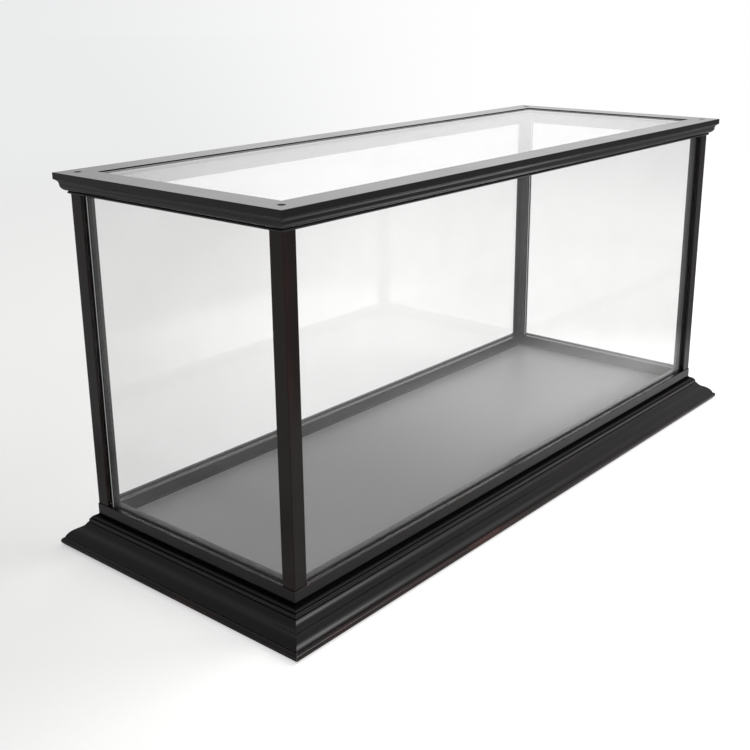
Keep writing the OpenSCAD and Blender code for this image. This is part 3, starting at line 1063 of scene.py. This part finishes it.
# studio: spans are (from, to) along a step
studio = {
    "floorSize": 14.0,
    "floorDrop": 0.0002,
    "floor": colour(0.665, 0.660, 0.652),
    "liftLeft": 0.38,
    "liftRight": 0.62,
    "liftSpan": (-0.55, -0.05),
    "patchClose": 0.26,
    "patchFull": 0.86,
    "patchRight": (-0.12, 0.26),
    "patchRound": (0.80, 0.55),
    "patchFront": (-0.52, -0.40),
    "patchCase": (-0.19, -0.26),
    "mirroredNear": 1.0,
    "mirroredFar": 0.52,
    "mirroredSpan": (0.42, 0.68),
    "mirroredLeft": (-0.45, -0.60),
    "pageLeft": colour(0.83, 0.835, 0.84),
    "pageRight": colour(1.0, 1.0, 1.0),
    "pageSpan": (-0.35, 0.12),
    "fadeSpan": (0.9, 3.2),
}
acrossSet = Vector((0.638, -0.770, 0.0))


def along(f, spot, direction):
    return f.node("ShaderNodeVectorMath", {"operation": "DOT_PRODUCT"}, {0: spot, 1: direction}, "Value")


def flattened(f, spot):
    flat = f.node("ShaderNodeVectorMath", {"operation": "MULTIPLY"}, {0: spot, 1: (1, 1, 0)})
    return f.node("ShaderNodeVectorMath", {"operation": "NORMALIZE"}, {0: flat})


def pageTone(f, spot):
    # painted shade: the page is a touch greyer towards the left of the set
    share = along(f, flattened(f, spot), acrossSet).step(*studio["pageSpan"])
    return f.blend(share, studio["pageLeft"], studio["pageRight"])


def seenDirectly(f):
    return f.ray("Is Camera Ray").most(f.ray("Is Transmission Ray"))


def makeFloor():
    s = studio
    material, f = newFinish("paperFloor")
    spot = f.place()
    length = f.node("ShaderNodeVectorMath", {"operation": "LENGTH"}, {0: spot}, "Value")
    x, y = f.parts(spot)[:2]
    direct = seenDirectly(f)
    mirrored = f.ray("Is Glossy Ray")
    # the light falls off over the paper, which only the case's mirror images show
    reach = length.step(*s["mirroredSpan"], s["mirroredNear"], s["mirroredFar"])
    reach = reach.most(x.step(*s["mirroredLeft"]))
    tone = f.blend(mirrored * (1 - reach), s["floor"], colour(0, 0, 0))
    lit = f.node("ShaderNodeBsdfDiffuse", {}, {"Color": tone})
    # painted shade: the floor seen directly is lifted less towards the left of the set
    lifted = along(f, spot, acrossSet).step(*s["liftSpan"], s["liftLeft"], s["liftRight"])
    # a painted pool of light in front of the right half, seen only by glossy rays: the sheets and the
    # plinth mirror it
    patch = x.step(*s["patchRight"]) * length.step(*s["patchRound"]) * y.step(*s["patchFront"])
    patch = patch * y.step(*s["patchCase"], s["patchClose"], s["patchFull"])
    lift = f.node("ShaderNodeEmission", {}, {"Strength": direct * lifted + mirrored * patch})
    near = f.node("ShaderNodeAddShader", {}, {0: lit, 1: lift})
    far = f.node("ShaderNodeEmission", {}, {"Color": pageTone(f, spot), "Strength": 1.0})
    f.done(f.mixed(length.step(*s["fadeSpan"]) * direct, near, far))
    shape = bmesh.new()
    bmesh.ops.create_circle(shape, cap_ends=True, segments=64, radius=s["floorSize"])
    floor = formed("paperFloor", shape)
    floor.location.z = -s["floorDrop"]
    floor.data.materials.append(material)


room = {
    "left": 0.25,
    "right": 0.42,
    "sideSpan": (-0.6, 0.4),
    "wall": 1.14,
    "wallTurn": 38,
    "wallSpan": (0.90, 1.0),
    "upperLeft": 0.62,
    "upperRight": 1.5,
    "upperTurn": 15,
    "upperSpan": (0.84, 0.97),
    "upperFrom": (0.20, 0.42),
    "overhead": 0.72,
    "overheadFrom": (0.72, 0.95),
}
# soft windows in the walls: turn, rise, span of the edge, strength
windows = [(-43, 25, (0.972, 0.992), 0.45), (-53, 24, (0.985, 0.997), 3.0)]


def aim(turn, rise):
    # unit direction from a compass turn and a rise, in degrees
    a, b = math.radians(turn), math.radians(rise)
    return (math.cos(a) * math.cos(b), math.sin(a) * math.cos(b), math.sin(b))


def makeRoom():
    # dim walls left and right, a bright wall behind, and a low window at the front with one bright pane
    r = room
    world = bpy.data.worlds.new("studio")
    bpy.context.scene.world = world
    world.use_nodes = True
    f = Graph(world.node_tree)
    way = f.node("ShaderNodeTexCoord", output="Generated")
    x, y, z = f.parts(way)
    around = x.step(*r["sideSpan"], r["left"], r["right"])
    heading = flattened(f, way)
    wall = along(f, heading, aim(r["wallTurn"], 0)).step(*r["wallSpan"])
    upper = along(f, heading, aim(r["upperTurn"], 0))
    upper = upper.step(*r["upperSpan"], r["upperLeft"], r["upperRight"])
    share = z.step(*r["upperFrom"])
    level = around + (share * upper + (1 - share) * r["wall"] - around) * wall
    level = level + (r["overhead"] - level) * z.step(*r["overheadFrom"])
    for turn, rise, edge, strength in windows:
        level = level + along(f, way, aim(turn, rise)).step(*edge) * strength
    dim = f.node("ShaderNodeBackground", {}, {"Color": colour(1, 1, 1), "Strength": level})
    page = f.node("ShaderNodeBackground", {}, {"Color": pageTone(f, way), "Strength": 1.0})
    f.node("ShaderNodeOutputWorld", {}, {"Surface": f.mixed(seenDirectly(f), dim, page)})


keyBox = {"place": (1.7, -1.0, 2.3), "target": (0, 0, 0.1), "size": (1.6, 1.6), "power": 36}


def softbox(name, lampBox):
    light = bpy.data.lights.new(name, "AREA")
    light.shape = "RECTANGLE"
    light.size, light.size_y = lampBox["size"]
    light.energy = lampBox["power"]
    lamp = linked(name, light)
    lamp.location = lampBox["place"]
    aimed = Vector(lampBox["target"]) - Vector(lampBox["place"])
    lamp.rotation_euler = aimed.to_track_quat("-Z", "Y").to_euler()
    lamp.visible_camera = False
    lamp.visible_glossy = False


makeFloor()
makeRoom()
softbox("keyBox", keyBox)
print("studio ready")

# camera
view = {"lens": 53.39, "sensor": 36, "shift": (-0.0244, -0.0497), "far": 50,
        "place": (-1.0004, -0.7631, 0.5507), "turn": (72.621, 0.266, -50.336)}
lens = bpy.data.cameras.new("camera")
lens.lens = view["lens"]
lens.sensor_width = view["sensor"]
lens.shift_x, lens.shift_y = view["shift"]
lens.clip_end = view["far"]
camera = linked("camera", lens)
camera.location = view["place"]
camera.rotation_euler = [math.radians(a) for a in view["turn"]]
bpy.context.scene.camera = camera
bpy.context.scene.view_settings.view_transform = "Standard"
